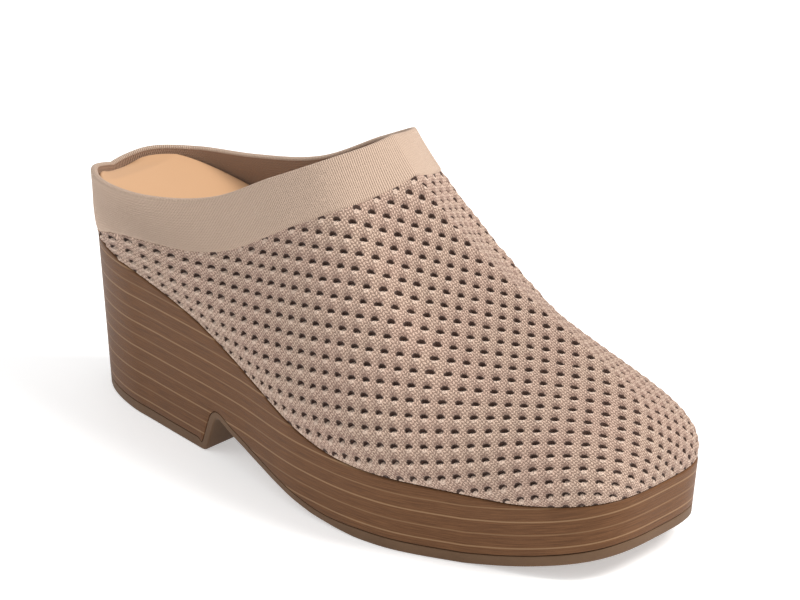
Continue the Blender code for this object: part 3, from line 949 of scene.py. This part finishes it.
def footbed():
    """The insole's side follows the inside of the knit; its top is a shallow dish between the two sides."""
    half = 150
    fine = ribs(half)
    rows, _, _ = read_rows(fine, lambda total: total[:, None] * np.linspace(0, 1, 40)[None, :])
    normals = normals_of(rows)
    inside = rows - normals * (KNIT_WALL + INSOLE_GAP)
    at = inside[:, 0, 0] / LENGTH
    foot = top_height(at) + GAP
    top = foot + table(INSOLE_ROWS, INSOLE_COLUMNS, "thick", at) * INSOLE_THICK
    top = np.minimum(top, rows[:, -1, 2] - INSOLE_EDGE_DROP)
    levels = []
    for share in (0.0, 0.2, 0.4, 0.6, 0.75, 0.85, 0.93, 1.0):
        height = foot + (top - foot) * share
        line_z = np.maximum.accumulate(inside[..., 2], axis=1) + np.arange(len(rows))[:, None] * APART
        want = height + np.arange(len(rows)) * APART
        xy = [np.interp(want, line_z.ravel(), inside[..., k].ravel()) for k in range(2)]
        levels.append(np.stack((*xy, height), axis=-1))
    wall = np.stack(levels, axis=1)
    wall[:, 0, 2] = top_height(wall[:, 0, 0] / LENGTH) + GAP
    rounding = []
    edge = wall[:, -1]
    for turn in (0.35, 0.7, 1.0):
        angle = turn * math.pi / 2
        moved = edge.copy()
        moved[:, :2] -= normals[:, 0, :2] * BED_EDGE_IN * (1 - math.cos(angle))
        moved[:, 2] += BED_EDGE_DOWN * (math.sin(angle) - 1)
        rounding.append(moved)
    wall[:, -1, 2] -= BED_EDGE_DOWN
    wall = np.concatenate((wall, np.stack(rounding, axis=1)), axis=1)
    count = len(wall)
    near = np.arange(0, half + 1)
    far = (count - near) % count
    across = (1 - np.cos(np.linspace(0, math.pi, 33))) / 2
    points = [wall.reshape(-1, 3)]
    quads = [grid_faces(count, wall.shape[1], close_rows=True)]
    start = count * wall.shape[1]
    for row, dish in ((wall.shape[1] - 1, INSOLE_DISH), (0, 0.0)):
        a, b = wall[near, row], wall[far, row]
        cap = a[:, None] * (1 - across)[None, :, None] + b[:, None] * across[None, :, None]
        bowl = 1 - (2 * across - 1) ** 4
        width = np.linalg.norm(a - b, axis=1)
        cap[:, :, 2] -= dish * bowl[None, :] * np.clip(width / BOWL_WIDTH, 0, 1)[:, None]
        quads.append(grid_faces(cap.shape[0], cap.shape[1], flip=row == 0) + start)
        start += cap.shape[0] * cap.shape[1]
        points.append(cap.reshape(-1, 3))
    return np.concatenate(points), np.concatenate(quads)


bed_points, bed_quads = footbed()
bed = add_piece("footbed", "insole", bed_points, bed_quads, footbed_material(), weld=0.00001)


def add_floor():
    """A pale plane under the shoe."""
    mesh = bpy.data.meshes.new("floor")
    mesh.from_pydata([(-4, -4, 0), (4, -4, 0), (4, 4, 0), (-4, 4, 0)], [], [(0, 1, 2, 3)])
    floor = bpy.data.objects.new("floor", mesh)
    bpy.context.scene.collection.objects.link(floor)
    material, net, shader = new_material("white_floor", 0.6)
    shader.inputs["Base Color"].default_value = (0.86, 0.86, 0.86, 1)
    shader.inputs["Emission Color"].default_value = (1, 1, 1, 1)
    shader.inputs["Emission Strength"].default_value = 0.42
    mesh.materials.append(material)
    return floor


add_floor()


def area_light(name, place, target, size, power, colour=(1, 1, 1)):
    """A soft square light at a place, facing the target."""
    data = bpy.data.lights.new(name, "AREA")
    data.size = size
    data.energy = power
    data.color = colour
    lamp = bpy.data.objects.new(name, data)
    lamp.location = place
    lamp.rotation_euler = (Vector(target) - Vector(place)).to_track_quat("-Z", "Y").to_euler()
    bpy.context.scene.collection.objects.link(lamp)
    return lamp


area_light("key", (0.65, 0.35, 0.95), (0.0, 0.0, 0.04), 0.55, 15.0, (1.0, 0.98, 0.95))
area_light("side", (-0.9, -0.9, 0.55), (0.0, 0.0, 0.05), 0.9, 4.0)
area_light("front", (1.1, -0.6, 0.5), (0.0, 0.0, 0.05), 0.8, 1.2)
world = bpy.data.worlds.new("studio")
world.use_nodes = True
world.node_tree.nodes["Background"].inputs[0].default_value = (1, 1, 1, 1)
world.node_tree.nodes["Background"].inputs[1].default_value = 0.62
bpy.context.scene.world = world

AZIMUTH = math.radians(42.171)
ELEVATION = math.radians(23.106)
DISTANCE = 1.2345
PIXELS_PER_M = 2882.9     # at the distance above
AIM = (0.126, 0.0, 0.045)  # in the solids' frame, drawn at the pixel below
AIM_PIXEL = (369.0, 341.3)
FRAME_WIDTH = 800.0       # the photo's frame, in pixels
FRAME_HEIGHT = 600.0
SENSOR = 36.0             # width in mm


def add_camera():
    """Camera at the photo's angle; the shift puts the aim point at its pixel."""
    back = Vector((
        math.sin(AZIMUTH) * math.cos(ELEVATION),
        -math.cos(AZIMUTH) * math.cos(ELEVATION),
        math.sin(ELEVATION),
    ))
    right = Vector((math.cos(AZIMUTH), math.sin(AZIMUTH), 0))
    up = back.cross(right)
    aim = Vector(AIM) + Vector(SHIFT.tolist())
    data = bpy.data.cameras.new("camera")
    data.sensor_width = SENSOR
    data.lens = SENSOR * PIXELS_PER_M * DISTANCE / FRAME_WIDTH
    data.shift_x = (FRAME_WIDTH / 2 - AIM_PIXEL[0]) / FRAME_WIDTH
    data.shift_y = (AIM_PIXEL[1] - FRAME_HEIGHT / 2) / FRAME_WIDTH
    data.clip_start = 0.05
    data.clip_end = 20.0
    camera = bpy.data.objects.new("camera", data)
    camera.matrix_world = Matrix((
        (right.x, up.x, back.x, 0),
        (right.y, up.y, back.y, 0),
        (right.z, up.z, back.z, 0),
        (0, 0, 0, 1),
    ))
    camera.location = aim + back * DISTANCE
    bpy.context.scene.collection.objects.link(camera)
    bpy.context.scene.camera = camera


add_camera()
bpy.context.scene.view_settings.view_transform = "Standard"
